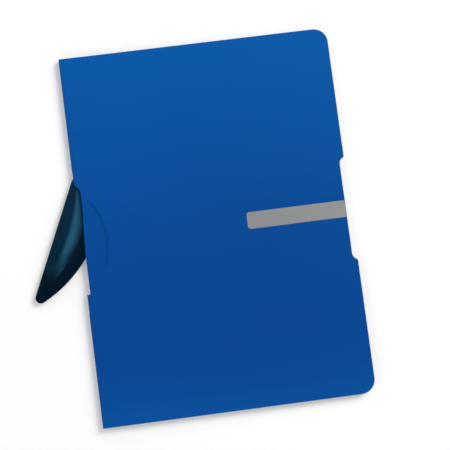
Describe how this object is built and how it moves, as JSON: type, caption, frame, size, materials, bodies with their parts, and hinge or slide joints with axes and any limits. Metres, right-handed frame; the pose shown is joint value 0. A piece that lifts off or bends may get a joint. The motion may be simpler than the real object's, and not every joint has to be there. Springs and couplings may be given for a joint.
{
  "type": "presentation folder",
  "caption": "Slim A4 folder of creased plastic sheet with thumb notches, a blank title strip and a clip that swings out of a slot in the spine to grip loose sheets.",
  "frame": {"origin": "centre of the back cover's underside, measured on the closed covers", "axes": "+X from the spine to the free edge, +Y to the head of the folder, +Z out of the front cover"},
  "size_m": [0.2705, 0.31, 0.0067],
  "materials": {
    "cover_sheet": "fine-grained matt blue polypropylene",
    "title_strip": "satin silver-grey film",
    "clip_plastic": "polished dark petrol plastic",
    "rivet_plastic": "satin dark plastic",
    "washer_plastic": "natural white low-friction plastic"
  },
  "bodies": {
    "back": {"back_cover": "cover_sheet", "pivot_rivet": "rivet_plastic", "rivet_cap": "rivet_plastic", "pivot_washer": "washer_plastic"},
    "spine": {"spine_upper": "cover_sheet", "spine_lower": "cover_sheet"},
    "front": {"front_cover": "cover_sheet", "title_label": "title_strip"},
    "clip": {"clip_upper_jaw": "clip_plastic", "clip_lower_jaw": "clip_plastic"}
  },
  "joints": [
    {"name": "spine_lean", "type": "hinge", "parent": "back", "child": "spine", "pos_m": [-0.1137, 0, 0.0003], "axis": [0, -1, 0], "range_deg": [0, 15]},
    {"name": "cover_fold", "type": "hinge", "parent": "spine", "child": "front", "pos_m": [-0.1137, 0, 0.0063], "axis": [0, -1, 0], "range_deg": [0, 150]},
    {"name": "clip_swing", "type": "hinge", "parent": "back", "child": "clip", "pos_m": [-0.101, 0.05164, 0.002], "axis": [0, 0, 1], "range_deg": [-20, 24]}
  ],
  "couplings": [
    {"joint": "spine_lean", "follows": "cover_fold", "ratio": 0.1}
  ]
}
